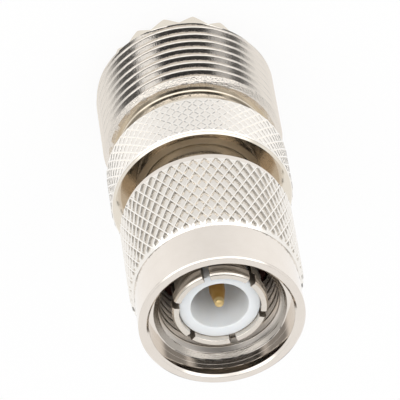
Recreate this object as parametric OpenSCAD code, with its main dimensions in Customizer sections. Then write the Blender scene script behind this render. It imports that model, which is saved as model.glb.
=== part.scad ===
// Coax adapter: a threaded plug with a captive coupling nut at the top, and a threaded socket
// with a serrated crown at the bottom. It stands on the crown, with its axis along +Z.

/* [Socket thread and crown] */
// Number of V teeth on the crown
crown_teeth = 16; // [12:1:20]
// Height of the crown teeth
tooth_h = 0.85; // [0.6:0.05:1.2]
// Flat left on each tooth tip, at its outer edge
tooth_tip = 0.12; // [0.05:0.01:0.3]
// Turn of the first notch about the axis, in degrees
crown_turn = 17.75; // [0:0.25:22.5]
// Diameter over the crown
crown_d = 13.4; // [12.6:0.05:14]
// Wall of the crown
crown_wall = 1; // [0.8:0.05:1.2]
// Plain wall between the tooth roots and the thread
crown_land = 0.9; // [0.5:0.05:1.5]
// Outside diameter over the socket thread
thread_d = 15.9; // [15:0.05:17]
// Length of the threaded block
thread_len = 8.7; // [6:0.05:10]
// Bevel where the thread starts
start_bevel = 0.75; // [0.4:0.05:1]
// Bevel where the thread runs out at the neck
runout_bevel = 0.5; // [0.2:0.05:0.8]
// Depth of the neck below the thread
neck_depth = 1.25; // [0.8:0.05:1.6]
// Length of the neck
neck_len = 2.55; // [1.5:0.05:4]

/* [Knurled flange] */
// Diameter over the flange
flange_d = 15.95; // [15:0.05:17]
// Length of the flange
flange_len = 4.7; // [3.5:0.1:6]
// Number of knurl diamonds round the flange
flange_knurls = 50; // [36:1:60]
// Number of half diamonds along the flange
flange_rows = 9; // [6:1:12]
// Depth of the flange's knurl
flange_knurl_depth = 0.12; // [0.05:0.01:0.25]
// Bevel on the flange's front edge
flange_bevel = 0.3; // [0.1:0.05:0.5]

/* [Socket inside] */
// Depth of the mouth from the tooth tips
mouth_depth = 6.3; // [5:0.1:7]
// Thickness of the web at the bottom of the mouth
web_t = 1; // [0.6:0.1:1.5]
// Width of the web inside the mouth
web_step = 1.3; // [1:0.1:1.6]
// Length of the shell's tail inside the flange
tail_len = 4.4; // [3:0.1:5.5]
// Thickness of the insulator round the contact
insulator_wall = 2.53; // [2:0.05:2.8]

/* [Socket contact] */
// Bore that takes the mating pin
contact_bore_d = 4; // [3.6:0.05:4.4]
// Wall of the contact
contact_wall = 0.75; // [0.5:0.05:0.9]
// Depth of the contact's bore
contact_depth = 12; // [9:0.1:13]
// Thickness of the contact's closed end
contact_end = 1.2; // [0.8:0.1:2]
// Number of slits in the contact
contact_slits = 4; // [2:1:6]
// Width of the contact's slits
contact_slit_w = 0.5; // [0.3:0.05:0.6]
// Length of the contact's slits
contact_slit_len = 6; // [4:0.1:8]
// Rise of the collar that keeps the contact from sliding
collar_rise = 0.65; // [0.4:0.05:1]
// Thickness of the contact's collar
collar_t = 1; // [0.6:0.1:1.5]
// Bevel at the contact's mouth
contact_bevel = 0.3; // [0.1:0.05:0.4]

/* [Plug shell] */
// Length of the shank from the flange to the gasket's seat
shank_len = 6.8; // [6:0.1:8]
// Width of the gasket's seat round the fingers
seat_w = 1.1; // [1:0.05:1.2]
// Length of the fingers from the gasket's seat
finger_len = 7.4; // [6.5:0.1:9]
// Wall of the fingers
finger_wall = 0.38; // [0.3:0.01:0.5]
// Rise of the contact lip at the finger tips
lip_rise = 0.26; // [0.2:0.01:0.35]
// Length of the contact lip
lip_len = 1.1; // [0.8:0.05:1.6]
// Bevel on the finger tips
tip_bevel = 0.18; // [0.05:0.01:0.25]
// Number of fingers
fingers = 6; // [4:1:8]
// Width of the slots between the fingers
slot_w = 0.6; // [0.4:0.05:0.8]
// Turn of the first slot about the axis, in degrees
finger_turn = 40.6; // [0:0.1:60]

/* [Plug inside] */
// Thickness of the dielectric round the contact
dielectric_wall = 0.73; // [0.6:0.01:0.9]
// Depth of the dielectric's face below the finger tips
face_set = 0.55; // [0.2:0.05:1]
// Wall of the dielectric round its front cavity
cavity_wall = 1; // [0.7:0.05:1.3]
// Depth of the front cavity
cavity_depth = 6; // [5:0.1:6.5]
// Diameter of the centre pin
pin_d = 1.37; // [1.2:0.01:1.5]
// Diameter of the pin's root
root_d = 2.1; // [1.8:0.05:2.4]
// Length of the root that stands in the cavity
root_len = 0.6; // [0.3:0.1:1.2]
// Depth of the pin's tip below the finger tips
pin_set = 0.6; // [0.3:0.05:1.5]
// Length of the pin's tapered nose
nose_len = 1.8; // [1.2:0.1:2.4]
// Diameter of the pin's rounded end
nose_d = 0.8; // [0.6:0.05:1]
// Thickness of the gasket
gasket_t = 1.3; // [0.8:0.1:1.6]

/* [Coupling nut] */
// Distance between the flange and the nut at rest
nut_gap = 1.9; // [1.4:0.1:2.4]
// Depth of the finger tips below the nut's front face
finger_set = 1.4; // [0.8:0.1:2]
// Diameter of the plain front collar
collar_d = 14.28; // [13.8:0.02:15]
// Length of the plain front collar
collar_len = 4.2; // [3:0.1:5]
// Diameter over the knurl
knurl_d = 15; // [14.6:0.05:16]
// Number of knurl diamonds round the nut
nut_knurls = 47; // [36:1:60]
// Number of half diamonds along the nut
nut_rows = 10; // [6:1:14]
// Depth of the nut's knurl
nut_knurl_depth = 0.25; // [0.1:0.01:0.3]
// Diameter of the rear rim
rim_d = 14.4; // [13.8:0.05:15]
// Length of the rear rim
rim_len = 0.75; // [0.5:0.05:1.5]
// Bevel on the nut's outer edges
edge_bevel = 0.2; // [0.1:0.05:0.3]
// Wall of the front collar
collar_wall = 0.89; // [0.7:0.01:1.1]
// Bevel inside the nut's mouth
mouth_bevel = 0.32; // [0.1:0.02:0.4]
// Depth of the counterbore in front of the thread
counterbore_depth = 1.46; // [1:0.02:2]
// Length of the lead-in to the thread
lead_len = 0.35; // [0.2:0.05:0.8]
// Room for the mating wall between the fingers and the thread
jack_room = 1; // [0.9:0.05:1.2]
// Depth of the relief behind the thread
relief_depth = 0.55; // [0.4:0.05:0.8]

/* [Retaining ring] */
// Distance of the ring from the nut's rear face
ring_set = 1.7; // [1.2:0.1:2]
// Thickness of the ring
ring_t = 0.6; // [0.4:0.05:0.8]
// Width of the ring's section
ring_w = 1.05; // [0.8:0.05:1.1]
// Part of the ring's section that stands out of the shank
ring_grip = 0.4; // [0.3:0.05:0.5]
// Opening of the split
ring_split = 1.2; // [0.6:0.1:2]
// Travel of the nut and its ring along the shank
float_len = 0.6; // [0.3:0.05:0.9]

/* [Clearances] */
// Clearance between pieces that are pressed or stacked together
seat_gap = 0.02; // [0.01:0.01:0.04]
// Running clearance between the nut and the shank
run_gap = 0.05; // [0.03:0.01:0.1]
// Room round the ring in its grooves
groove_room = 0.15; // [0.1:0.05:0.3]

/* [Hidden] */
$fn = 96;

// Stations along the axis, from the tooth tips up
z_thread = tooth_h + crown_land;
z_neck = z_thread + thread_len;
z_band = z_neck + neck_len;
z_flange = z_band + flange_len;
z_web = mouth_depth;
z_insulator = z_web + web_t;
z_tail = z_flange - tail_len;
z_contact_end = z_web + contact_depth + contact_end;
z_seat = z_flange + shank_len;
z_gasket = z_seat + gasket_t;
z_tip = z_seat + finger_len;
z_face = z_tip - face_set;
z_cavity = z_face - cavity_depth;
z_pin_tip = z_tip - pin_set;
z_rear = z_flange + nut_gap;
z_front = z_tip + finger_set;
z_ring = z_rear + ring_set;
z_relief = z_seat - groove_room;

// Radii, from the axis out
contact_bore_r = contact_bore_d / 2;
contact_r = contact_bore_r + contact_wall;
contact_collar_r = contact_r + collar_rise;
insulator_r = contact_r + insulator_wall;
bore_r = insulator_r + seat_gap;
thread_r = thread_d / 2;
crown_r = crown_d / 2;
neck_r = thread_r - neck_depth;
flange_r = flange_d / 2;
flange_face_r = flange_r - flange_bevel;
mouth_r = crown_r - crown_wall;
web_r = mouth_r - web_step;
dielectric_r = contact_r + dielectric_wall;
shell_bore_r = dielectric_r + seat_gap;
finger_r = shell_bore_r + finger_wall;
lip_r = finger_r + lip_rise;
shank_r = finger_r + seat_w;
pin_r = pin_d / 2;
root_r = root_d / 2;
nose_r = nose_d / 2;
ring_out_r = shank_r + ring_grip;
ring_in_r = ring_out_r - ring_w;
ring_seat_r = ring_in_r - ring_grip;
nut_bore_r = shank_r + run_gap;
nut_groove_r = ring_out_r + groove_room;
nut_thread_r = lip_r + jack_room;
relief_r = nut_thread_r + relief_depth;
collar_r = collar_d / 2;
knurl_r = knurl_d / 2;
rim_r = rim_d / 2;
counterbore_r = collar_r - collar_wall;

// How far a cut runs past the face that it opens
cut = 0.5;
// How far a knurled band is sunk in the metal behind its ends
knurl_root = 0.4;

nickel = [0.80, 0.78, 0.74];
spring_steel = [0.55, 0.55, 0.56];
ptfe = [0.94, 0.95, 0.97];
gold = [0.80, 0.62, 0.25];
maroon = [0.22, 0.09, 0.08];

// A straight tube between two heights
module tube(outer_r, inner_r, z0, z1) {
    translate([0, 0, z0])
        difference() {
            cylinder(r = outer_r, h = z1 - z0);
            translate([0, 0, -cut])
                cylinder(r = inner_r, h = z1 - z0 + 2 * cut);
        }
}

// Radial slots cut through a wall, evenly spaced about the axis
module slots(count, width, reach, z0, z1) {
    for (i = [0 : count - 1])
        rotate([0, 0, i * 360 / count])
            translate([0, -width / 2, z0])
                cube([reach, width, z1 - z0]);
}

// V notches that leave the crown's teeth, with the flanks carried on below the tips
module crown_notches() {
    pitch = 2 * crown_r * sin(180 / crown_teeth);
    half_w = (pitch - tooth_tip) / 2;
    overrun = 1.2;
    for (i = [0 : crown_teeth - 1])
        rotate([0, 0, crown_turn + i * 360 / crown_teeth])
            translate([mouth_r - cut, 0, tooth_h])
                rotate([90, 0, 90])
                    linear_extrude(crown_r - mouth_r + 2 * cut)
                        polygon([[0, 0], [-half_w * overrun, -tooth_h * overrun],
                                 [half_w * overrun, -tooth_h * overrun]]);
}

// A knurled band: a net of ridges that cross in diamonds, each round a four-sided pocket. Level k
// holds the crossings and the pocket floors of one row, and every second level is turned by half
// a diamond. An inner wall closes the band, and bevels bring its ends down to low_r and high_r.
module knurl_band(crest_r, depth, count, levels, z0, low_r, z1, high_r) {
    inner_r = min(low_r, high_r) - knurl_root;
    reach = max(crest_r, low_r, high_r) + cut;
    ring = function (r, k, half)
        [for (i = [0 : count - 1])
            let (a = (i + (k % 2 + half) / 2) * 360 / count)
                [r * cos(a), r * sin(a), z0 + (z1 - z0) * k / levels]];
    crossings = [for (k = [0 : levels]) each ring(crest_r, k, 0)];
    floors = [for (k = [0 : levels]) each ring(crest_r - depth, k, 1)];
    inside = [for (k = [0, levels]) for (half = [0, 1]) each ring(inner_r, k, half)];
    wrap = function (i) (i + count) % count;
    crossing = function (k, i) k * count + wrap(i);
    floor_at = function (k, i) (levels + 1 + k) * count + wrap(i);
    inner = function (end, half, i) (2 * (levels + 1) + 2 * end + half) * count + wrap(i);
    pockets = [
        for (k = [0 : levels]) for (i = [0 : count - 1])
            let (f = floor_at(k, i), left = crossing(k, i), right = crossing(k, i + 1))
            let (below = crossing(k - 1, i + k % 2), above = crossing(k + 1, i + k % 2))
                each concat(
                    k > 0 ? [[f, left, below], [f, below, right]] : [],
                    k < levels ? [[f, right, above], [f, above, left]] : []
                )
    ];
    ends = [
        for (end = [0, 1]) for (i = [0 : count - 1])
            let (k = end * levels)
            let (left = crossing(k, i), f = floor_at(k, i), right = crossing(k, i + 1))
            let (a = inner(end, 0, i), b = inner(end, 1, i), c = inner(end, 0, i + 1))
                each end == 0
                    ? [[left, f, b], [left, b, a], [f, right, c], [f, c, b]]
                    : [[f, left, a], [f, a, b], [right, f, b], [right, b, c]]
    ];
    walls = [
        for (i = [0 : count - 1])
            let (a = inner(0, 0, i), b = inner(0, 1, i), c = inner(0, 0, i + 1))
            let (d = inner(1, 0, i), e = inner(1, 1, i), f = inner(1, 0, i + 1))
                each [[a, b, e], [a, e, d], [b, c, f], [b, f, e]]
    ];
    intersection() {
        polyhedron(concat(crossings, floors, inside), concat(pockets, ends, walls));
        rotate_extrude()
            polygon([
                [0, z0], [low_r, z0], [reach, z0 + reach - low_r],
                [reach, z1 - reach + high_r], [high_r, z1], [0, z1]
            ]);
    }
}

module socket_body() {
    color(nickel) {
        difference() {
            rotate_extrude()
                polygon([
                    [mouth_r, 0], [crown_r, 0], [crown_r, z_thread],
                    [thread_r - start_bevel, z_thread], [thread_r, z_thread + start_bevel],
                    [thread_r, z_neck - runout_bevel],
                    [thread_r - runout_bevel, z_neck], [neck_r, z_neck], [neck_r, z_band],
                    [flange_face_r, z_band], [flange_face_r, z_flange], [bore_r, z_flange],
                    [bore_r, z_insulator], [web_r, z_insulator], [web_r, z_web], [mouth_r, z_web]
                ]);
            crown_notches();
        }
        knurl_band(flange_r, flange_knurl_depth, flange_knurls, flange_rows,
                   z_band, flange_r - flange_bevel / 2, z_flange, flange_face_r);
    }
}

module socket_insulator() {
    color(ptfe)
        rotate_extrude()
            polygon([
                [contact_r + seat_gap, z_web], [web_r - seat_gap, z_web],
                [web_r - seat_gap, z_insulator], [insulator_r, z_insulator], [insulator_r, z_tail],
                [contact_collar_r + seat_gap, z_tail],
                [contact_collar_r + seat_gap, z_tail - collar_t],
                [contact_r + seat_gap, z_tail - collar_t]
            ]);
}

module socket_contact() {
    z_bore = z_web + contact_depth;
    color(gold)
        difference() {
            rotate_extrude()
                polygon([
                    [contact_bore_r + contact_bevel, z_web], [contact_r, z_web],
                    [contact_r, z_tail - collar_t], [contact_collar_r, z_tail - collar_t],
                    [contact_collar_r, z_tail], [contact_r, z_tail], [contact_r, z_contact_end],
                    [pin_r + seat_gap, z_contact_end], [pin_r + seat_gap, z_bore],
                    [contact_bore_r, z_bore], [contact_bore_r, z_web + contact_bevel]
                ]);
            slots(contact_slits, contact_slit_w, contact_r + cut, z_web - cut, z_web + contact_slit_len);
        }
}

module plug_shell() {
    z_lip = z_tip - lip_len;
    z_groove = z_ring - seat_gap;
    groove_top = z_ring + ring_t + float_len + seat_gap;
    color(nickel)
        difference() {
            rotate_extrude()
                polygon([
                    [shell_bore_r, z_tail], [insulator_r, z_tail], [insulator_r, z_flange],
                    [shank_r, z_flange], [shank_r, z_groove], [ring_seat_r, z_groove],
                    [ring_seat_r, groove_top], [shank_r, groove_top], [shank_r, z_seat],
                    [finger_r, z_seat], [finger_r, z_lip - lip_rise], [lip_r, z_lip],
                    [lip_r, z_tip - tip_bevel], [lip_r - tip_bevel, z_tip], [shell_bore_r, z_tip]
                ]);
            rotate([0, 0, finger_turn])
                slots(fingers, slot_w, lip_r + cut, z_gasket + slot_w, z_tip + cut);
        }
}

module plug_dielectric() {
    color(ptfe)
        rotate_extrude()
            polygon([
                [contact_r + seat_gap, z_tail], [dielectric_r, z_tail], [dielectric_r, z_face],
                [dielectric_r - cavity_wall, z_face], [dielectric_r - cavity_wall, z_cavity],
                [root_r + seat_gap, z_cavity], [root_r + seat_gap, z_contact_end],
                [contact_r + seat_gap, z_contact_end]
            ]);
}

module center_pin() {
    z_root = z_cavity + root_len;
    color(gold)
        rotate_extrude()
            polygon(concat(
                [
                    [0, z_contact_end - contact_end], [pin_r, z_contact_end - contact_end],
                    [pin_r, z_contact_end], [root_r, z_contact_end], [root_r, z_root],
                    [pin_r, z_root], [pin_r, z_pin_tip - nose_len]
                ],
                [for (a = [0 : 15 : 90]) [nose_r * cos(a), z_pin_tip - nose_r * (1 - sin(a))]]
            ));
}

module gasket() {
    color(maroon)
        tube(shank_r, finger_r + seat_gap, z_seat, z_gasket);
}

module retaining_ring() {
    color(spring_steel)
        difference() {
            tube(ring_out_r, ring_in_r, z_ring, z_ring + ring_t);
            translate([0, -ring_split / 2, z_ring - cut])
                cube([ring_out_r + cut, ring_split, ring_t + 2 * cut]);
        }
}

module coupling_nut() {
    z_collar = z_front - collar_len;
    z_rim = z_rear + rim_len;
    z_lead = z_front - counterbore_depth;
    z_groove = z_ring - seat_gap;
    groove_top = z_ring + ring_t + seat_gap;
    color(nickel) {
        rotate_extrude()
            polygon([
                [nut_bore_r, z_rear], [rim_r - edge_bevel, z_rear], [rim_r, z_rear + edge_bevel],
                [rim_r, z_rim], [collar_r, z_rim], [collar_r, z_front - edge_bevel],
                [collar_r - edge_bevel, z_front], [counterbore_r + mouth_bevel, z_front],
                [counterbore_r, z_front - mouth_bevel], [counterbore_r, z_lead],
                [nut_thread_r, z_lead - lead_len], [nut_thread_r, z_gasket + groove_room],
                [relief_r, z_gasket + groove_room - relief_depth / 2], [relief_r, z_relief],
                [nut_bore_r, z_relief], [nut_bore_r, groove_top], [nut_groove_r, groove_top],
                [nut_groove_r, z_groove], [nut_bore_r, z_groove]
            ]);
        knurl_band(knurl_r, nut_knurl_depth, nut_knurls, nut_rows, z_rim, rim_r, z_collar, collar_r);
    }
}

socket_body();
socket_insulator();
socket_contact();
plug_shell();
plug_dielectric();
center_pin();
gasket();
retaining_ring();
coupling_nut();
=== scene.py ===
import math

import bmesh
import bpy
from mathutils import Matrix, Vector


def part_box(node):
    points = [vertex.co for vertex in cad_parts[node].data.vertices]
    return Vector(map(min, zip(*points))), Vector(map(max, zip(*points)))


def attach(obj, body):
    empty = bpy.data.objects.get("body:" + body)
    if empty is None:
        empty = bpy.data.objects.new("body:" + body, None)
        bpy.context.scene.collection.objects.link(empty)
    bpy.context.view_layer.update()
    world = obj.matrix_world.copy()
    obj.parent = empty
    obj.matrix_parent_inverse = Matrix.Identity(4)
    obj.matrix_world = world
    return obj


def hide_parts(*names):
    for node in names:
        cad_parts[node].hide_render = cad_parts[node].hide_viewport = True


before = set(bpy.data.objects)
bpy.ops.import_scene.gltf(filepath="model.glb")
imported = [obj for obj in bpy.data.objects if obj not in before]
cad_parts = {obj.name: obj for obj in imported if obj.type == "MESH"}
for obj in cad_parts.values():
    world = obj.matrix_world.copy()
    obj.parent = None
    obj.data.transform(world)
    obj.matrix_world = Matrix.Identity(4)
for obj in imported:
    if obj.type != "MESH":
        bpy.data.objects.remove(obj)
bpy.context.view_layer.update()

# Socket body: the threaded end with its serrated crown, the neck and the knurled flange, turned
# in one piece from brass bar. The V teeth are milled into the rim before the piece is plated with
# satin nickel. Radii and heights are in millimetres, and heights run up the axis from the tooth tips.
mm = 0.001
crown_r, mouth_r, mouth_depth = 6.7, 5.7, 6.3
crown_teeth, tooth_height, tooth_turn = 16, 0.85, 6.5
tooth_flat, tooth_depth = 0.04, 0.985
thread_low, thread_high, thread_core_r = 1.75, 10.45, 7.1
neck_r, neck_high = 6.7, thread_high + 0.01
flange_low, flange_high = 13.0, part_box("socket_body")[1].z / mm
flange_core_r, flange_rim_r, flange_bevel = 7.4, 7.84, 0.17
flange_rim_low = flange_high - 0.4
web_r, web_high, body_bore_r = 4.4, 7.3, 5.3


def linear(code):
    """The linear colour of a #RRGGBB code."""
    parts = [int(code[i:i + 2], 16) / 255 for i in (1, 3, 5)]
    return [c / 12.92 if c <= 0.04045 else ((c + 0.055) / 1.055) ** 2.4 for c in parts] + [1.0]


def add(tree, kind, links=(), **settings):
    """Adds a node, or goes on with one that is there; links give its inputs values, sockets or nodes."""
    node = tree.nodes.new(kind) if isinstance(kind, str) else kind
    for key, value in settings.items():
        setattr(node, key, value)
    for key, value in links.items() if isinstance(links, dict) else enumerate(links):
        if isinstance(value, bpy.types.Node):
            value = next(socket for socket in value.outputs if socket.enabled)
        if isinstance(value, bpy.types.NodeSocket):
            tree.links.new(value, node.inputs[key])
        else:
            node.inputs[key].default_value = value
    return node


def new_finish(name):
    """A new material, with its tree, its shader and each point's place on the object."""
    made = bpy.data.materials.new(name)
    made.use_nodes = True
    tree = made.node_tree
    return made, tree, tree.nodes["Principled BSDF"], add(tree, "ShaderNodeTexCoord").outputs["Object"]


def eased(corners, ease=0.06, steps=3):
    """The outline of (radius, height) with each corner eased; a third number is a corner's own ease."""
    most, guard = 0.4, 0.2
    points = []
    for i, corner in enumerate(corners):
        here = Vector(corner[:2])
        back = Vector(corners[i - 1][:2]) - here
        ahead = Vector(corners[(i + 1) % len(corners)][:2]) - here
        radius = corner[2] if len(corner) > 2 else ease
        half_turn = (math.pi - back.angle(ahead)) / 2
        reach = min(radius * math.tan(half_turn), most * back.length, most * ahead.length)
        if reach < 1e-4:
            points.append(here)
            continue
        start, end = here + back.normalized() * reach, here + ahead.normalized() * reach
        points.append(start + back.normalized() * reach * guard)
        for k in range(steps + 1):
            t = k / steps
            points.append(start * (1 - t) ** 2 + here * 2 * t * (1 - t) + end * t ** 2)
        points.append(end + ahead.normalized() * reach * guard)
    return points


def solid(name, mesh, material, body, sharp=32):
    """Closes and shades a mesh, and hangs it on its body as a finished piece."""
    bm = bmesh.new()
    bm.from_mesh(mesh)
    bmesh.ops.remove_doubles(bm, verts=bm.verts, dist=1e-7)
    bmesh.ops.dissolve_degenerate(bm, edges=bm.edges, dist=1e-8)
    bm.to_mesh(mesh)
    bm.free()
    mesh.shade_smooth()
    mesh.set_sharp_from_angle(angle=math.radians(sharp))
    mesh.materials.clear()
    mesh.materials.append(material)
    piece = bpy.data.objects.new(name, mesh)
    bpy.context.scene.collection.objects.link(piece)
    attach(piece, body)
    return piece


def turned(name, outline, segments=180, start=0.0, sweep=360.0, level=None):
    """Revolves an outline of (radius, height) about the axis; level(height, angle) may move a height."""
    whole = sweep == 360.0
    columns = segments if whole else segments + 1
    points = []
    for j in range(columns):
        angle = start + sweep * j / segments
        c, s = math.cos(math.radians(angle)) * mm, math.sin(math.radians(angle)) * mm
        points += [(r * c, r * s, (level(z, angle) if level else z) * mm) for r, z in outline]
    n = len(outline)
    faces = []
    for j in range(segments):
        a, b = j * n, (j + 1) % columns * n
        faces += [(a + i, b + i, b + (i + 1) % n, a + (i + 1) % n) for i in range(n)]
    if not whole:
        faces += [tuple(range(n)), tuple(reversed(range(segments * n, segments * n + n)))]
    mesh = bpy.data.meshes.new(name)
    mesh.from_pydata(points, [], faces)
    return mesh


# Satin nickel over turned brass: a warm pale metal, with fine rings left by the tool, 16 to the
# millimetre, and a sheen that is uneven over about a millimetre.
nickel, tree, shader, place = new_finish("satin_nickel_plate")
rings = add(tree, "ShaderNodeMapping", {"Vector": place, "Scale": (0.3 / mm, 0.3 / mm, 16 / mm)})
ring_noise = add(tree, "ShaderNodeTexNoise", {"Vector": rings, "Scale": 1.0, "Detail": 2.0})
cloud = add(tree, "ShaderNodeTexNoise", {"Vector": place, "Scale": 0.9 / mm, "Detail": 4.0})
sheen = add(tree, "ShaderNodeMapRange",
            {"Value": cloud, "From Min": 0.3, "From Max": 0.7, "To Min": 0.06, "To Max": 0.12})
tint = add(tree, "ShaderNodeMix", {"Factor": cloud, "A": linear("#E1D8CA"), "B": linear("#E9E2D6")},
           data_type="RGBA")
ring_bump = add(tree, "ShaderNodeBump", {"Height": ring_noise, "Strength": 0.03, "Distance": 0.01 * mm})
add(tree, shader, {"Base Color": tint, "Roughness": sheen, "Normal": ring_bump, "Metallic": 1.0})


def tooth_level(z, angle):
    """Lifts the rim between the tooth tips, so that V teeth are left."""
    step = 360 / crown_teeth
    from_tip = abs((angle - tooth_turn + step / 2) % step - step / 2) / (step / 2)
    cut = min(max((from_tip - tooth_flat) / (1 - tooth_flat), 0.0), tooth_depth)
    return z if z >= tooth_height else tooth_height * cut + z * (1 - cut)


body_outline = eased([
    (mouth_r, 0, 0.1), (crown_r, 0, 0.06), (crown_r, thread_low, 0.1), (thread_core_r, thread_low, 0),
    (thread_core_r, thread_high, 0), (neck_r, neck_high, 0.1), (neck_r, flange_low, 0.2),
    (flange_core_r, flange_low, 0), (flange_core_r, flange_rim_low, 0), (flange_rim_r, flange_rim_low, 0),
    (flange_rim_r, flange_high - flange_bevel, 0.04), (flange_rim_r - flange_bevel, flange_high, 0.04),
    (body_bore_r, flange_high), (body_bore_r, web_high, 0), (web_r, web_high, 0), (web_r, mouth_depth),
    (mouth_r, mouth_depth, 0.2),
])
body_mesh = turned("socket_body_turned", body_outline, segments=crown_teeth * 12, start=tooth_turn,
                   level=tooth_level)
socket_body = solid("socket_body_turned", body_mesh, nickel, "adapter_body")
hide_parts("socket_body")

# Socket thread: single-start, right-handed, cut on the body with a 60 degree tool before plating.
# The flanks keep the tool's fine chatter, and both ends run out into a bevel.
socket_thread_r, socket_thread_depth, socket_pitch = 7.95, 0.56, 1.0


def sockets(tree, **kinds):
    """Gives a Geometry Nodes tree its named inputs and its one geometry output."""
    for label, kind in kinds.items():
        tree.interface.new_socket(label, in_out="INPUT", socket_type="NodeSocket" + kind)
    tree.interface.new_socket("Geometry", in_out="OUTPUT", socket_type="NodeSocketGeometry")
    return add(tree, "NodeGroupInput").outputs


def grown(name, tree, base, **values):
    """The plain mesh that a Geometry Nodes tree makes from a base mesh and its named inputs."""
    holder = bpy.data.objects.new(name, base)
    bpy.context.scene.collection.objects.link(holder)
    modifier = holder.modifiers.new(name, "NODES")
    modifier.node_group = tree
    for item in tree.interface.items_tree:
        if item.in_out == "INPUT" and item.name in values:
            modifier[item.identifier] = values[item.name]
    mesh = bpy.data.meshes.new_from_object(holder.evaluated_get(bpy.context.evaluated_depsgraph_get()))
    holder.modifiers.remove(modifier)
    bpy.data.objects.remove(holder)
    return mesh


# The tree lays a grid of helix rows and gives each row its depth in the thread form, with flats an
# eighth of the pitch wide. It trims both ends to a bevel and folds the rows beyond the ends onto a
# plain wall. Side is 1 for an outer thread and -1 for an inner one, whose radii it turns round.
screw = bpy.data.node_groups.new("screw_thread", "GeometryNodeTree")
given = sockets(screw, Geometry="Geometry", Crest="Float", Root="Float", Core="Float", Pitch="Float",
                Phase="Float", Low="Float", High="Float", LowRadius="Float", HighRadius="Float",
                Slope="Float", Round="Float", Side="Float", Turns="Float", Rows="Int", Columns="Int",
                Material="Material")
crest_edge, root_edge, first_turn = 1 / 16, 7 / 16, 1.25
grid = add(screw, "GeometryNodeMeshGrid", {"Size X": math.tau, "Size Y": given["Turns"],
                                           "Vertices X": given["Columns"], "Vertices Y": given["Rows"]})
flat = add(screw, "ShaderNodeSeparateXYZ", [add(screw, "GeometryNodeInputPosition")]).outputs
angle = add(screw, "ShaderNodeMath", [flat["X"], math.pi], operation="ADD")
turn = add(screw, "ShaderNodeMath", [given["Turns"], 0.5, flat["Y"]], operation="MULTIPLY_ADD")
climb = add(screw, "ShaderNodeMath", [angle, math.tau], operation="DIVIDE")
from_start = add(screw, "ShaderNodeMath", [turn, first_turn], operation="SUBTRACT")
lead = add(screw, "ShaderNodeMath", [climb, from_start], operation="ADD")
height = add(screw, "ShaderNodeMath", [given["Pitch"], lead, given["Low"]], operation="MULTIPLY_ADD")
phased = add(screw, "ShaderNodeMath", [turn, given["Phase"]], operation="ADD")
in_pitch = add(screw, "ShaderNodeMath", [phased], operation="FRACT")
centred = add(screw, "ShaderNodeMath", [in_pitch, 0.5], operation="SUBTRACT")
from_crest = add(screw, "ShaderNodeMath", [centred], operation="ABSOLUTE")
crest = add(screw, "ShaderNodeMath", [given["Crest"], given["Side"]], operation="MULTIPLY")
root = add(screw, "ShaderNodeMath", [given["Root"], given["Side"]], operation="MULTIPLY")
flank = add(screw, "ShaderNodeMapRange", {"Value": from_crest, "From Min": crest_edge, "From Max": root_edge,
                                          "To Min": crest, "To Max": root}, clamp=False)
topped = add(screw, "ShaderNodeMath", [flank, crest, given["Round"]], operation="SMOOTH_MIN")
trimmed = add(screw, "ShaderNodeMath", [topped, root, given["Round"]], operation="SMOOTH_MAX")
for upper, lower, end_r in ((height, given["Low"], "LowRadius"), (given["High"], height, "HighRadius")):
    from_end = add(screw, "ShaderNodeMath", [upper, lower], operation="SUBTRACT")
    end_wall = add(screw, "ShaderNodeMath", [given[end_r], given["Side"]], operation="MULTIPLY")
    bevel = add(screw, "ShaderNodeMath", [from_end, given["Slope"], end_wall], operation="MULTIPLY_ADD")
    trimmed = add(screw, "ShaderNodeMath", [trimmed, bevel], operation="MINIMUM")
cut_r = add(screw, "ShaderNodeMath", [trimmed, given["Side"]], operation="MULTIPLY")
held = add(screw, "ShaderNodeClamp", {"Value": height, "Min": given["Low"], "Max": given["High"]})
past = add(screw, "ShaderNodeMath", [height, held], operation="SUBTRACT")
past_end = add(screw, "ShaderNodeMath", [past], operation="ABSOLUTE")
beyond = add(screw, "ShaderNodeMath", [past_end, 1e-9], operation="GREATER_THAN")
radius = add(screw, "ShaderNodeMix", {"Factor": beyond, "A": cut_r, "B": given["Core"]})
last_turn = add(screw, "ShaderNodeMath", [given["Turns"], 0.01], operation="SUBTRACT")
last_row = add(screw, "ShaderNodeMath", [turn, last_turn], operation="GREATER_THAN")
level = add(screw, "ShaderNodeMix", {"Factor": last_row, "A": held, "B": given["Low"]})
cosine = add(screw, "ShaderNodeMath", [angle], operation="COSINE")
sine = add(screw, "ShaderNodeMath", [angle], operation="SINE")
east = add(screw, "ShaderNodeMath", [radius, cosine], operation="MULTIPLY")
north = add(screw, "ShaderNodeMath", [radius, sine], operation="MULTIPLY")
spot = add(screw, "ShaderNodeCombineXYZ", [east, north, level])
moved = add(screw, "GeometryNodeSetPosition", {"Geometry": grid, "Position": spot})
inner = add(screw, "ShaderNodeMath", [given["Side"], 0.0], operation="LESS_THAN")
faced = add(screw, "GeometryNodeFlipFaces", {"Mesh": moved, "Selection": inner})
merged = add(screw, "GeometryNodeMergeByDistance", {"Geometry": faced, "Distance": 1e-7})
real = add(screw, "GeometryNodeRealizeInstances", {"Geometry": merged})
painted = add(screw, "GeometryNodeSetMaterial", {"Geometry": real, "Material": given["Material"]})
add(screw, "NodeGroupOutput", {"Geometry": painted})


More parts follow.
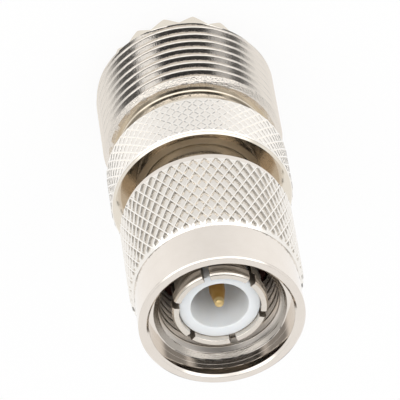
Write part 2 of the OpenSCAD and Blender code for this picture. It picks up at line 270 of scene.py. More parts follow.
def threaded(name, crest, root, core, pitch, phase, low, low_r, high, high_r, slope, ease, columns, finish):
    """A screw thread on a wall at the core radius: within an outer thread, or round an inner one."""
    rows_a_turn = 24
    turns = math.ceil((high - low) / pitch) + 3
    return grown(name, screw, bpy.data.meshes.new(name), Crest=crest * mm, Root=root * mm, Core=core * mm,
                 Pitch=pitch * mm, Phase=phase, Low=low * mm, High=high * mm, LowRadius=low_r * mm,
                 HighRadius=high_r * mm, Slope=slope, Round=ease * mm, Side=1.0 if crest > core else -1.0,
                 Turns=float(turns), Rows=turns * rows_a_turn + 1, Columns=columns + 1, Material=finish)


# Nickel over a cut thread: brighter than the turned faces, with an eighth of a millimetre of grain
# from the tool's chatter, faint on the flanks and strong on the bevel where the thread runs out.
thread_nickel, tree, shader, place = new_finish("nickel_on_cut_thread")
grain = add(tree, "ShaderNodeTexNoise", {"Vector": place, "Scale": 8 / mm, "Detail": 3.0})
sheen = add(tree, "ShaderNodeMapRange",
            {"Value": grain, "From Min": 0.3, "From Max": 0.7, "To Min": 0.06, "To Max": 0.14})
up = add(tree, "ShaderNodeSeparateXYZ", [place]).outputs["Z"]
bevel_middle = thread_high - 0.25
from_bevel = add(tree, "ShaderNodeMath", [up, bevel_middle * mm], operation="SUBTRACT")
off_bevel = add(tree, "ShaderNodeMath", [from_bevel], operation="ABSOLUTE")
coarse = add(tree, "ShaderNodeMapRange", {"Value": off_bevel, "From Min": 0.2 * mm, "From Max": 0.3 * mm,
                                          "To Min": 1.0, "To Max": 0.12})
grain_bump = add(tree, "ShaderNodeBump", {"Height": grain, "Strength": coarse, "Distance": 0.05 * mm})
add(tree, shader, {"Base Color": linear("#E4DDD4"), "Roughness": sheen, "Normal": grain_bump,
                   "Metallic": 1.0})

thread_mesh = threaded("socket_thread", crest=socket_thread_r, root=socket_thread_r - socket_thread_depth,
                       core=thread_core_r, pitch=socket_pitch, phase=11 / 16, low=thread_low, low_r=7.2,
                       high=thread_high, high_r=7.45, slope=1.0, ease=0.1, columns=240, finish=thread_nickel)
solid("socket_thread", thread_mesh, thread_nickel, "adapter_body", sharp=40)

# Flange knurl: a diamond net rolled into the brass flange, so that thin ridges stand round flat pockets.
# The front edge is turned back to a plain rim afterwards, which cuts through the ends of the ridges.
flange_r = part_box("socket_body")[1].x / mm
flange_knurl_depth, flange_knurl_high, flange_chamfer = 0.06, flange_high - 0.25, 0.15

# The tree sets the net's tile side by side, as often round the piece and up it as the knurl asks.
net = bpy.data.node_groups.new("knurl_net", "GeometryNodeTree")
given = sockets(net, Geometry="Geometry", Count="Int", Rows="Int", Width="Float", Height="Float",
                Material="Material")
last_column = add(net, "ShaderNodeMath", [given["Count"], 1], operation="SUBTRACT")
last_row = add(net, "ShaderNodeMath", [given["Rows"], 1], operation="SUBTRACT")
net_width = add(net, "ShaderNodeMath", [given["Width"], last_column], operation="MULTIPLY")
net_height = add(net, "ShaderNodeMath", [given["Height"], last_row], operation="MULTIPLY")
grid = add(net, "GeometryNodeMeshGrid", {"Size X": net_width, "Size Y": net_height,
                                         "Vertices X": given["Count"], "Vertices Y": given["Rows"]})
tiles = add(net, "GeometryNodeInstanceOnPoints", {"Points": grid, "Instance": given["Geometry"]})
real = add(net, "GeometryNodeRealizeInstances", {"Geometry": tiles})
merged = add(net, "GeometryNodeMergeByDistance", {"Geometry": real, "Distance": 1e-3})
painted = add(net, "GeometryNodeSetMaterial", {"Geometry": merged, "Material": given["Material"]})
add(net, "NodeGroupOutput", {"Geometry": painted})


def knurled(name, crest, depth, ridge, slope, count, pitch, low, low_r, high, high_r, core, finish):
    """A closed knurled band. One tile of the net holds a ridge crossing; ridge is half a ridge's width."""
    w, h = math.pi * crest / count, pitch / 2
    rise = math.atan2(h, w)
    bm = bmesh.new()
    # The tile has four quarters, each with two half ridges and the corner of a pocket.
    for turn in range(4):
        side = turn % 2 == 0
        far, wide = (w, h) if side else (h, w)
        tilt = rise if side else math.pi / 2 - rise
        rows = []
        for step, drop in ((0, 0), (ridge, 0), (ridge + slope, depth)):
            tip, edge = step / math.sin(tilt), wide - step / math.cos(tilt)
            rows.append([(far, -edge, -drop), (tip, 0, -drop), (far, edge, -drop)])
        spin = Matrix.Rotation(turn * math.pi / 2, 3, "Z")
        corners = [[bm.verts.new(spin @ Vector(p)) for p in row] for row in rows]
        for outer, inner in zip(corners, corners[1:]):
            bm.faces.new((outer[0], inner[0], inner[1], outer[1]))
            bm.faces.new((outer[1], inner[1], inner[2], outer[2]))
        bm.faces.new(corners[2])
    bmesh.ops.remove_doubles(bm, verts=bm.verts, dist=1e-5)
    tile = bpy.data.meshes.new(name)
    bm.to_mesh(tile)
    bm.clear()
    net_rows = math.ceil((high - low) / pitch)
    bm.from_mesh(grown(name, net, tile, Count=count, Rows=net_rows, Width=2 * w, Height=pitch,
                       Material=finish))
    half = (high - low) / 2
    # Both ends are cut to length, and creased where a 45 degree bevel starts.
    for end, end_r in ((1, high_r), (-1, low_r)):
        everything = bm.verts[:] + bm.edges[:] + bm.faces[:]
        bmesh.ops.bisect_plane(bm, geom=everything, plane_co=(0, end * half, 0), plane_no=(0, end, 0),
                               clear_outer=True)
        everything = bm.verts[:] + bm.edges[:] + bm.faces[:]
        bmesh.ops.bisect_plane(bm, geom=everything, plane_co=(0, end * half, end_r - crest),
                               plane_no=(0, end, 1))
    # The flat net is rolled up round the axis and bevelled.
    for v in bm.verts:
        x, y, z = v.co
        r = min(crest + z, high_r + half - y, low_r + half + y)
        v.co = (r * math.cos(x / crest), r * math.sin(x / crest), low + half + y)
    bmesh.ops.remove_doubles(bm, verts=bm.verts, dist=1e-4)
    # The ends are closed down to the core, and the core along its length.
    rims = [e for e in bm.edges if e.is_boundary]
    fresh = bmesh.ops.extrude_edge_only(bm, edges=rims)["geom"]
    for v in fresh:
        if isinstance(v, bmesh.types.BMVert):
            v.co.xy = v.co.xy.normalized() * core
    bmesh.ops.bridge_loops(bm, edges=[e for e in bm.edges if e.is_boundary])
    bmesh.ops.recalc_face_normals(bm, faces=bm.faces)
    bmesh.ops.scale(bm, vec=(mm, mm, mm), verts=bm.verts)
    mesh = bpy.data.meshes.new(name)
    bm.to_mesh(mesh)
    bm.free()
    return mesh


def from_axis(tree, place):
    """Each point's distance from the axis."""
    flat = add(tree, "ShaderNodeVectorMath", [place, (1, 1, 0)], operation="MULTIPLY")
    return add(tree, "ShaderNodeVectorMath", [flat], operation="LENGTH").outputs["Value"]


def knurl_nickel(name, crest, depth, low, high, pocket):
    """Nickel over a rolled knurl: a painted highlight on the ridges, painted shade and dents in the pockets
    from low to high.
    """
    made, tree, shader, place = new_finish(name)
    sunk = add(tree, "ShaderNodeMapRange", {"Value": from_axis(tree, place),
                                            "From Min": (crest - 0.1 * depth) * mm,
                                            "From Max": (crest - depth) * mm})
    up = add(tree, "ShaderNodeSeparateXYZ", [place]).outputs["Z"]
    from_middle = add(tree, "ShaderNodeMath", [up, (low + high) / 2 * mm], operation="SUBTRACT")
    off_middle = add(tree, "ShaderNodeMath", [from_middle], operation="ABSOLUTE")
    rolled = add(tree, "ShaderNodeMapRange", {"Value": off_middle, "From Min": (high - low) / 2 * mm,
                                              "From Max": ((high - low) / 2 - 0.05) * mm})
    inside = add(tree, "ShaderNodeMath", [sunk, rolled], operation="MULTIPLY")
    # The painted pocket shade is uneven over 0.4 mm, and the dents are 0.3 mm wide.
    spots = add(tree, "ShaderNodeTexNoise", {"Vector": place, "Scale": 2.5 / mm, "Detail": 3.0})
    uneven = add(tree, "ShaderNodeMath", [spots, 0.8, 0.6], operation="MULTIPLY_ADD")
    painted_pocket_shade = add(tree, "ShaderNodeMath", [inside, uneven], operation="MULTIPLY")
    # The ridges' whiter colour is a painted highlight, and the pocket colour mixed in by depth is painted
    # shade.
    tint = add(tree, "ShaderNodeMix", {"Factor": painted_pocket_shade, "A": linear("#F3EFE9"), "B": linear(pocket)},
               data_type="RGBA")
    dents = add(tree, "ShaderNodeTexNoise", {"Vector": place, "Scale": 3.5 / mm, "Detail": 2.0})
    dented = add(tree, "ShaderNodeMath", [inside, 0.5, 0.1], operation="MULTIPLY_ADD")
    dent_bump = add(tree, "ShaderNodeBump", {"Height": dents, "Strength": dented, "Distance": 0.06 * mm})
    add(tree, shader, {"Base Color": tint, "Roughness": 0.16, "Normal": dent_bump, "Metallic": 1.0})
    return made


# The flange knurl's pocket colour is painted shade.
flange_grip = knurl_nickel("nickel_on_fine_knurl", flange_r, flange_knurl_depth,
                           low=flange_low + flange_chamfer, high=flange_rim_low, pocket="#EEE9E2")
flange_mesh = knurled("flange_knurl", flange_r, flange_knurl_depth, ridge=0.05, slope=0.04, count=50,
                      pitch=1.05, low=flange_low, low_r=flange_r - flange_chamfer, high=flange_knurl_high,
                      high_r=flange_rim_r, core=flange_core_r, finish=flange_grip)
solid("flange_knurl", flange_mesh, flange_grip, "adapter_body", sharp=20)

# Socket insulator: a plain bush turned from white fluoropolymer and pressed into the body up to the
# web, with a nose that shows at the bottom of the mouth. A step at its back takes the contact's collar.
seat_gap = 0.02
bush_r, bush_nose_r, bush_high = body_bore_r - seat_gap, web_r - seat_gap, 13.3
contact_bore_r, collar_bore_r, contact_collar_low = 2.77, 3.42, 12.3
insulator = turned("socket_insulator_bush", eased([
    (contact_bore_r, mouth_depth), (bush_nose_r, mouth_depth), (bush_nose_r, web_high, 0),
    (bush_r, web_high, 0), (bush_r, bush_high, 0), (collar_bore_r, bush_high, 0),
    (collar_bore_r, contact_collar_low, 0), (contact_bore_r, contact_collar_low, 0),
], ease=0.1))

# Fluoropolymer: cool white and waxy, with light bleeding half a millimetre in and a faint unevenness.
ptfe, tree, shader, place = new_finish("white_fluoropolymer")
cloud = add(tree, "ShaderNodeTexNoise", {"Vector": place, "Scale": 0.7 / mm, "Detail": 3.0})
tint = add(tree, "ShaderNodeMix", {"Factor": cloud, "A": linear("#E2E5E7"), "B": linear("#EBEEF0")},
           data_type="RGBA")
wax_bump = add(tree, "ShaderNodeBump", {"Height": cloud, "Strength": 0.08, "Distance": 0.02 * mm})
add(tree, shader, {"Base Color": tint, "Roughness": 0.42, "Normal": wax_bump, "Subsurface Weight": 0.8,
                   "Subsurface Radius": (1.0, 0.95, 0.9), "Subsurface Scale": 0.5 * mm})

socket_insulator = solid("socket_insulator_bush", insulator, ptfe, "adapter_body")
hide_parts("socket_insulator")

# Socket contact: a tube turned from spring brass, slit into four leaves that grip the mating pin
# and plated with gold. A collar behind the insulator keeps it from sliding, and its end takes the pin.
contact_r, contact_hole_r, contact_collar_r = contact_bore_r - seat_gap, 2.0, collar_bore_r - seat_gap
tail_hole_r, contact_floor, contact_end = 0.705, 18.3, 19.5
leaf_count, leaf_middle_r, leaf_lead, slit_width = 4, 2.4, 0.3, 0.5
contact_tube = turned("socket_contact_tube", eased([
    (contact_hole_r, contact_collar_low - 0.1, 0), (contact_r, contact_collar_low - 0.1, 0),
    (contact_r, contact_collar_low, 0), (contact_collar_r, contact_collar_low),
    (contact_collar_r, bush_high), (contact_r, bush_high, 0), (contact_r, contact_end),
    (tail_hole_r, contact_end), (tail_hole_r, contact_floor), (contact_hole_r, contact_floor),
], ease=0.05))
slit_angle = math.degrees(slit_width / leaf_middle_r)
leaf = turned("socket_contact_leaf", eased([
    (contact_hole_r + leaf_lead, mouth_depth, 0.05), (contact_r, mouth_depth, 0.08),
    (contact_r, contact_collar_low, 0), (contact_hole_r, contact_collar_low, 0),
    (contact_hole_r, mouth_depth + leaf_lead, 0.08),
]), segments=24, start=slit_angle / 2, sweep=360 / leaf_count - slit_angle)

# The tree sets copies of one mesh evenly round the axis.
circle = bpy.data.node_groups.new("copies_round_axis", "GeometryNodeTree")
given = sockets(circle, Geometry="Geometry", Count="Int", Turn="Float", Material="Material")
stations = add(circle, "GeometryNodePoints", {"Count": given["Count"], "Position": (0, 0, 0)})
number = add(circle, "GeometryNodeInputIndex")
share = add(circle, "ShaderNodeMath", [number, given["Count"]], operation="DIVIDE")
bearing = add(circle, "ShaderNodeMath", [share, math.tau, given["Turn"]], operation="MULTIPLY_ADD")
spin = add(circle, "ShaderNodeCombineXYZ", {"Z": bearing})
facing = add(circle, "FunctionNodeEulerToRotation", {"Euler": spin})
copies = add(circle, "GeometryNodeInstanceOnPoints", {"Points": stations, "Instance": given["Geometry"],
                                                      "Rotation": facing})
real = add(circle, "GeometryNodeRealizeInstances", {"Geometry": copies})
painted = add(circle, "GeometryNodeSetMaterial", {"Geometry": real, "Material": given["Material"]})
add(circle, "NodeGroupOutput", {"Geometry": painted})

# Gold over turned brass: bright, a little worn to brown, with rings 14 to the millimetre along the
# length. The pin's nose is left rough, and its pale colour there is a painted highlight.
pin_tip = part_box("center_pin")[1].z / mm
gold, tree, shader, place = new_finish("gold_plate")
wear = add(tree, "ShaderNodeTexNoise", {"Vector": place, "Scale": 1.5 / mm, "Detail": 4.0})
tint = add(tree, "ShaderNodeMix", {"Factor": wear, "A": linear("#B5843F"), "B": linear("#DDAF68")},
           data_type="RGBA")
rings = add(tree, "ShaderNodeMapping", {"Vector": place, "Scale": (0.3 / mm, 0.3 / mm, 14 / mm)})
ring_noise = add(tree, "ShaderNodeTexNoise", {"Vector": rings, "Scale": 1.0, "Detail": 2.0})
ring_bump = add(tree, "ShaderNodeBump", {"Height": ring_noise, "Strength": 0.15, "Distance": 0.01 * mm})
up = add(tree, "ShaderNodeSeparateXYZ", [place]).outputs["Z"]
painted_nose_highlight = add(tree, "ShaderNodeMapRange", {"Value": up, "From Min": (pin_tip - 0.7) * mm,
                                          "From Max": (pin_tip - 0.5) * mm})
scuffs = add(tree, "ShaderNodeTexNoise", {"Vector": place, "Scale": 5 / mm, "Detail": 2.0})
scuff_bump = add(tree, "ShaderNodeBump", {"Height": scuffs, "Strength": painted_nose_highlight, "Distance": 0.1 * mm,
                                          "Normal": ring_bump})
# The pale colour on the nose is a painted highlight.
tint_with_nose_highlight = add(tree, "ShaderNodeMix", {"Factor": painted_nose_highlight, "A": tint, "B": linear("#F0D396")}, data_type="RGBA")
add(tree, shader, {"Base Color": tint_with_nose_highlight, "Roughness": 0.28, "Normal": scuff_bump, "Metallic": 1.0})

socket_contact = solid("socket_contact_tube", contact_tube, gold, "adapter_body")
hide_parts("socket_contact")
leaves = grown("socket_contact_leaves", circle, leaf, Count=leaf_count, Turn=0.0, Material=gold)
solid("socket_contact_leaves", leaves, gold, "adapter_body")

# Centre pin: turned from brass and gold plated, with a thick root held in the dielectric, a thin
# tail pressed into the contact's end and a tapered, rounded nose.
pin_r, pin_root_r, pin_root_high, taper_low, pin_nose_r = 0.685, 1.05, 25.95, 29.5, 0.42
nose = []
for degrees in range(10, 91, 10):
    bend = math.radians(degrees)
    nose.append((pin_nose_r * math.cos(bend), pin_tip - pin_nose_r * (1 - math.sin(bend)), 0))
pin = turned("center_pin_turned", eased([
    (0, contact_floor, 0), (pin_r, contact_floor), (pin_r, contact_end, 0), (pin_root_r, contact_end),
    (pin_root_r, pin_root_high), (pin_r, pin_root_high, 0.1), (pin_r, taper_low, 0.5),
] + nose), segments=96)
center_pin = solid("center_pin_turned", pin, gold, "adapter_body")
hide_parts("center_pin")

# Plug dielectric: a white fluoropolymer sleeve pressed into the shell. Its front is bored out to a
# cavity round the pin, and its face lies a little behind the finger tips.
dielectric_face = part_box("plug_dielectric")[1].z / mm
shell_bore_r = 3.5
dielectric_r, cavity_r, cavity_low, root_bore_r = shell_bore_r - seat_gap, 2.48, 25.35, pin_root_r + seat_gap
dielectric = turned("plug_dielectric_sleeve", eased([
    (contact_bore_r, bush_high, 0), (dielectric_r, bush_high, 0), (dielectric_r, dielectric_face),
    (cavity_r, dielectric_face), (cavity_r, cavity_low), (root_bore_r, cavity_low),
    (root_bore_r, contact_end, 0), (contact_bore_r, contact_end, 0),
], ease=0.1))
plug_dielectric = solid("plug_dielectric_sleeve", dielectric, ptfe, "adapter_body")
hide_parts("plug_dielectric")

# Plug shell: turned from brass and nickel plated, pressed into the flange by its tail. Slots cut its
# front wall into six fingers with a raised lip at their tips.
tail_r, shank_r, groove_r, finger_r, lip_r = body_bore_r - seat_gap, 4.98, 3.93, 3.88, 4.14
groove_low, groove_high, gasket_low = 21.28, 22.52, 24.5
finger_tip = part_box("plug_shell")[1].z / mm
lip_low, lip_rise, tip_bevel, slot_bevel = 30.8, 0.26, 0.18, 0.03
finger_count, finger_middle_r, slot_foot, slot_turn, slot_width = 6, 3.8, 26.4, 40.6, 0.6
shell = turned("plug_shell_turned", eased([
    (shell_bore_r, bush_high, 0), (tail_r, bush_high, 0), (tail_r, flange_high, 0.05),
    (shank_r, flange_high, 0), (shank_r, groove_low), (groove_r, groove_low, 0.1),
    (groove_r, groove_high, 0.1), (shank_r, groove_high), (shank_r, gasket_low),
    (finger_r, gasket_low, 0.1), (finger_r, slot_foot, 0), (shell_bore_r, slot_foot, 0),
]))
plug_shell = solid("plug_shell_turned", shell, nickel, "adapter_body")
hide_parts("plug_shell")
slot_angle = math.degrees(slot_width / finger_middle_r)
finger_foot = slot_foot - seat_gap
finger = turned("plug_finger", eased([
    (shell_bore_r, finger_foot, 0), (finger_r, finger_foot, 0), (finger_r, lip_low - lip_rise, 0.3),
    (lip_r, lip_low, 0.15), (lip_r, finger_tip - tip_bevel, 0.12), (lip_r - tip_bevel, finger_tip, 0.1),
    (shell_bore_r, finger_tip, 0.08),
]), segments=32, start=slot_turn + slot_angle / 2, sweep=360 / finger_count - slot_angle)
bm = bmesh.new()
bm.from_mesh(finger)
slot_edges = [e for e in bm.edges if e.calc_face_angle(0) > 1.2]
bmesh.ops.bevel(bm, geom=slot_edges, offset=slot_bevel * mm, segments=2, profile=0.5, affect="EDGES")
bm.to_mesh(finger)
bm.free()

# Nickel over the fingers: pale and smooth, but duller on the sawn walls of the slots, whose greyer colour
# is painted shade. The walls are found by their bearing round the axis.
finger_nickel, tree, shader, place = new_finish("nickel_with_painted_slot_shade")
axes = add(tree, "ShaderNodeSeparateXYZ", [place]).outputs
finger_step = math.tau / finger_count
bearing = add(tree, "ShaderNodeMath", [axes["Y"], axes["X"]], operation="ARCTAN2")
from_first = add(tree, "ShaderNodeMath", [bearing, math.radians(slot_turn) - finger_step / 2],
                 operation="SUBTRACT")
in_step = add(tree, "ShaderNodeMath", [from_first, finger_step], operation="FLOORED_MODULO")
from_slot = add(tree, "ShaderNodeMath", [in_step, finger_step / 2], operation="SUBTRACT")
off_slot = add(tree, "ShaderNodeMath", [from_slot], operation="ABSOLUTE")
painted_slot_shade = add(tree, "ShaderNodeMath", [off_slot, math.radians(slot_angle / 2 + 0.35)], operation="LESS_THAN")
cloud = add(tree, "ShaderNodeTexNoise", {"Vector": place, "Scale": 2.5 / mm, "Detail": 4.0})
tint = add(tree, "ShaderNodeMix", {"Factor": cloud, "A": linear("#D6CFC5"), "B": linear("#E2DBD2")},
           data_type="RGBA")
# The slot walls' darker colour is painted shade.
cut = add(tree, "ShaderNodeMix", {"Factor": painted_slot_shade, "A": tint, "B": linear("#9C9388")}, data_type="RGBA")
sheen = add(tree, "ShaderNodeMath", [painted_slot_shade, 0.3, 0.14], operation="MULTIPLY_ADD")
dents = add(tree, "ShaderNodeBump", {"Height": cloud, "Strength": 0.15, "Distance": 0.04 * mm})
add(tree, shader, {"Base Color": cut, "Roughness": sheen, "Normal": dents, "Metallic": 1.0})

fingers = grown("plug_fingers", circle, finger, Count=finger_count, Turn=0.0, Material=finger_nickel)
solid("plug_fingers", fingers, finger_nickel, "adapter_body")

# Gasket: a flat ring moulded from dark maroon silicone and laid on the shell's shoulder round the
# fingers, where the mating jack presses on it.
gasket_bore_r, gasket_high = finger_r + seat_gap, 25.8
seal = turned("gasket_ring", eased([
    (gasket_bore_r, gasket_low), (shank_r, gasket_low), (shank_r, gasket_high), (gasket_bore_r, gasket_high),
], ease=0.15))

# Silicone: dark and dull, with a faint moulded grain, five to the millimetre.
maroon, tree, shader, place = new_finish("maroon_silicone")
grain = add(tree, "ShaderNodeTexNoise", {"Vector": place, "Scale": 5 / mm, "Detail": 3.0})
tint = add(tree, "ShaderNodeMix", {"Factor": grain, "A": linear("#401912"), "B": linear("#5E2A20")},
           data_type="RGBA")
grain_bump = add(tree, "ShaderNodeBump", {"Height": grain, "Strength": 0.3, "Distance": 0.02 * mm})
add(tree, shader, {"Base Color": tint, "Roughness": 0.55, "Normal": grain_bump})

gasket = solid("gasket_ring", seal, maroon, "adapter_body")
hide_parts("gasket")

# Retaining ring: a split ring of spring steel wire with a square section, sprung into the shell's
# groove, that holds the nut on the shank and lets it turn.
ring_bore_r, ring_middle_r, ring_r, ring_low, ring_high, ring_split = 4.33, 4.85, 5.38, 21.3, 21.9, 1.2
split_angle = math.degrees(ring_split / ring_middle_r)
ring = turned("retaining_ring_split", eased([
    (ring_bore_r, ring_low), (ring_r, ring_low), (ring_r, ring_high), (ring_bore_r, ring_high),
]), segments=120, start=split_angle / 2, sweep=360 - split_angle)

# Spring steel: grey and a little dull, with marks three to the millimetre from the drawing of the wire.
steel, tree, shader, place = new_finish("plain_spring_steel")
drawn = add(tree, "ShaderNodeTexNoise", {"Vector": place, "Scale": 3 / mm, "Detail": 3.0})
tint = add(tree, "ShaderNodeMix", {"Factor": drawn, "A": linear("#8A8A8C"), "B": linear("#A2A2A4")},
           data_type="RGBA")
add(tree, shader, {"Base Color": tint, "Roughness": 0.38, "Metallic": 1.0})

retaining_ring = solid("retaining_ring_split", ring, steel, "nut_ring")
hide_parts("retaining_ring")

# Coupling nut: turned from brass and nickel plated, with a plain front collar, a knurled grip and a
# short rear rim. It is bored for the fingers, grooved for its ring and threaded inside for the jack.
nut_rear, nut_front = (corner.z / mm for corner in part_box("coupling_nut"))
collar_low, rim_high, nut_core_r = 29.1, 20.35, 6.9
collar_r, rim_r, counterbore_r, nut_bore_r = 7.14, 7.2, 6.25, 5.03
rim_bevel, collar_bevel, mouth_bevel = 0.2, 0.14, 0.2
nut_thread_low, nut_thread_high, nut_thread_core_r = 24.9, 31.84, 5.8
nut_thread_r, nut_thread_root_r, nut_pitch = 5.14, 5.6, 0.907
relief_r, relief_low, relief_high = 5.69, 24.35, 24.85
nut_groove_r, nut_groove_low, nut_groove_high = 5.53, 21.28, 21.92
nut = turned("coupling_nut_turned", eased([
    (nut_bore_r, nut_rear, 0.1), (rim_r - rim_bevel, nut_rear, 0.06), (rim_r, nut_rear + rim_bevel),
    (rim_r, rim_high, 0.03), (nut_core_r, rim_high, 0), (nut_core_r, collar_low, 0),
    (collar_r, collar_low, 0), (collar_r, nut_front - collar_bevel, 0.03),
    (collar_r - collar_bevel, nut_front, 0.03),
    (counterbore_r + mouth_bevel, nut_front, 0.03), (counterbore_r, nut_front - mouth_bevel, 0.03),
    (counterbore_r, nut_thread_high, 0.01), (nut_thread_core_r, nut_thread_high, 0),
    (nut_thread_core_r, nut_thread_low, 0), (relief_r, relief_high, 0), (relief_r, relief_low),
    (nut_bore_r, relief_low), (nut_bore_r, nut_groove_high), (nut_groove_r, nut_groove_high, 0),
    (nut_groove_r, nut_groove_low, 0), (nut_bore_r, nut_groove_low),
]), segments=192)

# Nickel over the turned nut: smooth outside and satin in the thread. The bevel in front of the thread is
# painted greyer as painted shade, the thread faintly too, with close stripes, 12 to the millimetre, that the
# tool has left along the axis.
bored_nickel, tree, shader, place = new_finish("nickel_with_bored_inside")
bored = add(tree, "ShaderNodeMapRange", {"Value": from_axis(tree, place),
                                         "From Min": (nut_thread_core_r - 0.06) * mm,
                                         "From Max": (nut_thread_core_r - 0.1) * mm})
up = add(tree, "ShaderNodeSeparateXYZ", [place]).outputs["Z"]
bevel = add(tree, "ShaderNodeMapRange", {"Value": up, "From Min": (nut_thread_high - 0.75) * mm,
                                         "From Max": (nut_thread_high - 0.6) * mm, "To Min": 0.06})
grain_and_painted_shade = add(tree, "ShaderNodeMath", [bored, bevel], operation="MULTIPLY")
stripes = add(tree, "ShaderNodeMapping", {"Vector": place, "Scale": (12 / mm, 12 / mm, 0.9 / mm)})
chatter = add(tree, "ShaderNodeTexNoise", {"Vector": stripes, "Scale": 1.0, "Detail": 2.0})
chatter_depth = add(tree, "ShaderNodeMath", [grain_and_painted_shade, 0.6], operation="MULTIPLY")
tool_bump = add(tree, "ShaderNodeBump", {"Height": chatter, "Strength": chatter_depth,
                                         "Distance": 0.02 * mm})
cloud = add(tree, "ShaderNodeTexNoise", {"Vector": place, "Scale": 0.9 / mm, "Detail": 4.0})
tint = add(tree, "ShaderNodeMix", {"Factor": cloud, "A": linear("#E0D8CF"), "B": linear("#E8E1D9")},
           data_type="RGBA")
# The grey mixed in on the bevel, and faintly on the thread, is painted shade.
tint_with_painted_shade = add(tree, "ShaderNodeMix", {"Factor": grain_and_painted_shade, "A": tint, "B": linear("#A8A29A")}, data_type="RGBA")
outer_sheen = add(tree, "ShaderNodeMath", [cloud, 0.08, 0.05], operation="MULTIPLY_ADD")
thread_sheen = add(tree, "ShaderNodeMath", [bored, 0.25, outer_sheen], operation="MULTIPLY_ADD")
sheen = add(tree, "ShaderNodeMath", [grain_and_painted_shade, -0.2, thread_sheen], operation="MULTIPLY_ADD")
add(tree, shader, {"Base Color": tint_with_painted_shade, "Roughness": sheen, "Normal": tool_bump, "Metallic": 1.0})

coupling_nut = solid("coupling_nut_turned", nut, bored_nickel, "nut")
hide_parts("coupling_nut")
grip_r, grip_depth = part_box("coupling_nut")[1].x / mm, 0.2
# The nut knurl's pocket colour is painted shade, and its whiter ridges are a painted highlight.
nut_grip = knurl_nickel("nickel_on_coarse_knurl", grip_r, grip_depth, low=rim_high + 0.3,
                        high=collar_low - 0.36, pocket="#E4DFD8")
grip = knurled("nut_knurl", grip_r, grip_depth, ridge=0.055, slope=0.06, count=47, pitch=1.75, low=rim_high,
               low_r=rim_r, high=collar_low, high_r=collar_r, core=nut_core_r, finish=nut_grip)
solid("nut_knurl", grip, nut_grip, "nut", sharp=20)
nut_thread = threaded("nut_thread", crest=nut_thread_r, root=nut_thread_root_r, core=nut_thread_core_r,
                      pitch=nut_pitch, phase=0.0, low=nut_thread_low, low_r=nut_thread_root_r,
                      high=nut_thread_high, high_r=5.75, slope=1.0, ease=0.03, columns=192,
                      finish=bored_nickel)
solid("nut_thread", nut_thread, bored_nickel, "nut", sharp=40)

# Floor: a plain white sheet that the adapter stands on. It is shown nearly as bright as the background
# and keeps a faint shadow; polished metal mirrors it a little brighter to the sides.
half = 90 * mm
floor_mesh = bpy.data.meshes.new("floor")
floor_corners = [(-half, -half, 0), (half, -half, 0), (half, half, 0), (-half, half, 0)]
floor_mesh.from_pydata(floor_corners, [], [(0, 1, 2, 3)])
paper, tree, shader, place = new_finish("white_paper")
add(tree, shader, {"Base Color": linear("#F8F8F8"), "Roughness": 0.9})


def screened(tree, x, y):
    """1 where one of three dark screens stands low round the tent, 0 between them."""
    bearing = add(tree, "ShaderNodeMath", [y, x], operation="ARCTAN2")
    three_times = add(tree, "ShaderNodeMath", [bearing, 3.0], operation="MULTIPLY")
    wave = add(tree, "ShaderNodeMath", [three_times], operation="SINE")
    return add(tree, "ShaderNodeMapRange", {"Value": wave, "From Min": -0.3, "From Max": -0.8},
               interpolation_type="SMOOTHSTEP")


# The far floor shows the screens' dark too, so that the metal has bands from every side.
spot = add(tree, "ShaderNodeSeparateXYZ", [place]).outputs
aside = add(tree, "ShaderNodeMath", [spot["X"]], operation="ABSOLUTE")
glow = add(tree, "ShaderNodeMapRange", {"Value": aside, "From Min": 8 * mm, "From Max": 30 * mm,
                                        "To Min": 0.99, "To Max": 1.1})
far = add(tree, "ShaderNodeMapRange", {"Value": from_axis(tree, place), "From Min": 42 * mm,
                                       "From Max": 60 * mm})
dark = add(tree, "ShaderNodeMath", [far, screened(tree, spot["X"], spot["Y"])], operation="MULTIPLY")
dimmed = add(tree, "ShaderNodeMath", [dark, -0.7, 1.0], operation="MULTIPLY_ADD")
mirrored_glow = add(tree, "ShaderNodeMath", [glow, dimmed], operation="MULTIPLY")
rays = add(tree, "ShaderNodeLightPath").outputs
strength = add(tree, "ShaderNodeMix", {"Factor": rays["Is Camera Ray"], "A": mirrored_glow, "B": 1.0})
white = add(tree, "ShaderNodeEmission", {"Color": (1, 1, 1, 1), "Strength": strength})
mirrored = add(tree, "ShaderNodeMath", [rays["Is Glossy Ray"], rays["Is Transmission Ray"]],
               operation="MAXIMUM")
shown_white = add(tree, "ShaderNodeMath", [rays["Is Camera Ray"], 0.88], operation="MULTIPLY")
share = add(tree, "ShaderNodeMath", [mirrored, shown_white], operation="MAXIMUM")
shown = add(tree, "ShaderNodeMixShader", [share, shader, white])
add(tree, tree.nodes["Material Output"], {"Surface": shown})
floor_mesh.materials.append(paper)
floor = bpy.data.objects.new("floor", floor_mesh)
bpy.context.scene.collection.objects.link(floor)

# Light: a white tent all round, with a broad soft light in front of the plug end. A dark panel with two
# bright gaps hangs overhead, the camera looks in through a dark hole, and dim sides and three screens
# stand low down. The metal shows these as bands and lines; matt pieces see the tent alone.
# A direction's X runs to the photograph's left, its Y away from the camera and its Z up, from -1 to 1.
world = bpy.data.worlds.new("white_tent")
world.use_nodes = True
bpy.context.scene.world = world
tree = world.node_tree
tent = tree.nodes["Background"]
look = add(tree, "ShaderNodeSeparateXYZ", [add(tree, "ShaderNodeTexCoord").outputs["Generated"]]).outputs


def region(part, *limits):
    """Narrows a part of the tent; a limit is a coordinate and the values at which it starts and ends."""
    for coordinate, start, end in limits:
        edge = add(tree, "ShaderNodeMapRange", {"Value": coordinate, "From Min": start, "From Max": end},
                   interpolation_type="SMOOTHSTEP")
        part = add(tree, "ShaderNodeMath", [part, edge], operation="MULTIPLY")
    return part


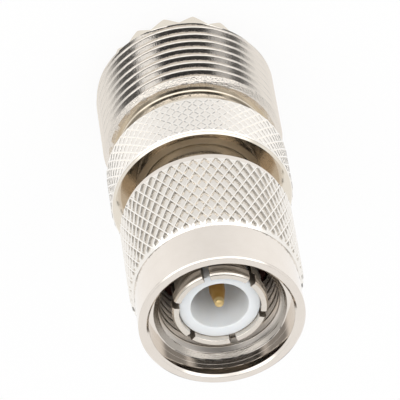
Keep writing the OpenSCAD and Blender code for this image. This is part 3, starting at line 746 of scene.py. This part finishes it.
# The panel's brightness along X: a place and its level.
stops = [(-1.0, 0.95), (-0.77, 0.8), (-0.72, 0.14), (-0.64, 0.08), (-0.58, 0.55), (-0.47, 0.5),
         (-0.42, 0.03), (0.21, 0.03), (0.29, 1.05), (0.45, 1.05), (0.51, 0.06), (0.68, 0.1), (0.78, 0.8),
         (1.0, 0.95)]
across = add(tree, "ShaderNodeMath", [look["X"], 0.5, 0.5], operation="MULTIPLY_ADD")
bands = add(tree, "ShaderNodeValToRGB", {"Fac": across})
ramp = bands.color_ramp.elements
while len(ramp) < len(stops):
    ramp.new(0.5)
for stop, (x, bright) in zip(ramp, stops):
    stop.position = x / 2 + 0.5
    stop.color = (bright, bright, bright, 1)

# Only rays off polished metal see these parts, and none that a matt piece has spread before. The panel
# is a quarter weaker in rays that have been mirrored more than once.
rays = add(tree, "ShaderNodeLightPath").outputs
straight = add(tree, "ShaderNodeMath", [rays["Diffuse Depth"], 0.5], operation="LESS_THAN")
mirrored = add(tree, "ShaderNodeMath", [rays["Is Glossy Ray"], straight], operation="MULTIPLY")
side = add(tree, "ShaderNodeMath", [look["X"]], operation="ABSOLUTE")
squared = add(tree, "ShaderNodeMath", [side, 2.0], operation="POWER")
bowed = add(tree, "ShaderNodeMath", [squared, -0.7, look["Y"]], operation="MULTIPLY_ADD")
front = region(1.0, (look["Y"], -0.25, -0.45), (look["Z"], 0.3, 0.5), (look["Z"], 0.69, 0.66))
once = add(tree, "ShaderNodeMath", [rays["Glossy Depth"], 1.5], operation="LESS_THAN")
weaker = add(tree, "ShaderNodeMath", [once, 0.25, 0.75], operation="MULTIPLY_ADD")
direct = add(tree, "ShaderNodeMath", [mirrored, weaker], operation="MULTIPLY")
panel = region(direct, (look["Z"], 0.55, 0.65), (bowed, -0.57, -0.52), (look["Y"], 0.4, 0.2))
hole = region(mirrored, (look["Z"], 0.685, 0.705), (bowed, -0.52, -0.57), (side, 0.66, 0.5))
low_sides = region(mirrored, (side, 0.6, 0.8), (look["Z"], 0.15, 0.05), (look["Y"], 0.4, 0.25))
low = region(mirrored, (look["Z"], 0.3, 0.1))
screens = add(tree, "ShaderNodeMath", [low, screened(tree, look["X"], look["Y"])], operation="MULTIPLY")
lit = add(tree, "ShaderNodeMath", [front, 2.3, 0.85], operation="MULTIPLY_ADD")
reflected = add(tree, "ShaderNodeMath", [front, 0.8, 1.0], operation="MULTIPLY_ADD")
level = add(tree, "ShaderNodeMix", {"Factor": mirrored, "A": lit, "B": reflected})
for part, shade in ((panel, bands), (hole, 0.04), (low_sides, 0.35), (screens, 0.3)):
    level = add(tree, "ShaderNodeMix", {"Factor": part, "A": level, "B": shade})
background = add(tree, "ShaderNodeMix", {"Factor": rays["Is Camera Ray"], "A": level, "B": 1.0})
add(tree, tent, {"Color": (1, 1, 1, 1), "Strength": background})

# Camera: looks down on the plug end from the front, turned nearly upside down as in the photograph.
# The place, the turn and the lens come from a fit to the photograph's ellipses.
camera_place = Vector((0.186, -291.6, 355.65)) * mm
right = Vector((-0.9866, 0.1235, 0.1064)).normalized()
away = Vector((0, -0.6528, 0.7574)).normalized()
up = away.cross(right).normalized()
right = up.cross(away)
lens = bpy.data.cameras.new("camera")
lens.sensor_width = 36.0
lens.lens = 461.7
lens.clip_end = 10.0
camera = bpy.data.objects.new("camera", lens)
camera.matrix_world = Matrix.Translation(camera_place) @ Matrix((right, up, away)).transposed().to_4x4()
bpy.context.scene.collection.objects.link(camera)
bpy.context.scene.camera = camera
bpy.context.scene.view_settings.view_transform = "Standard"
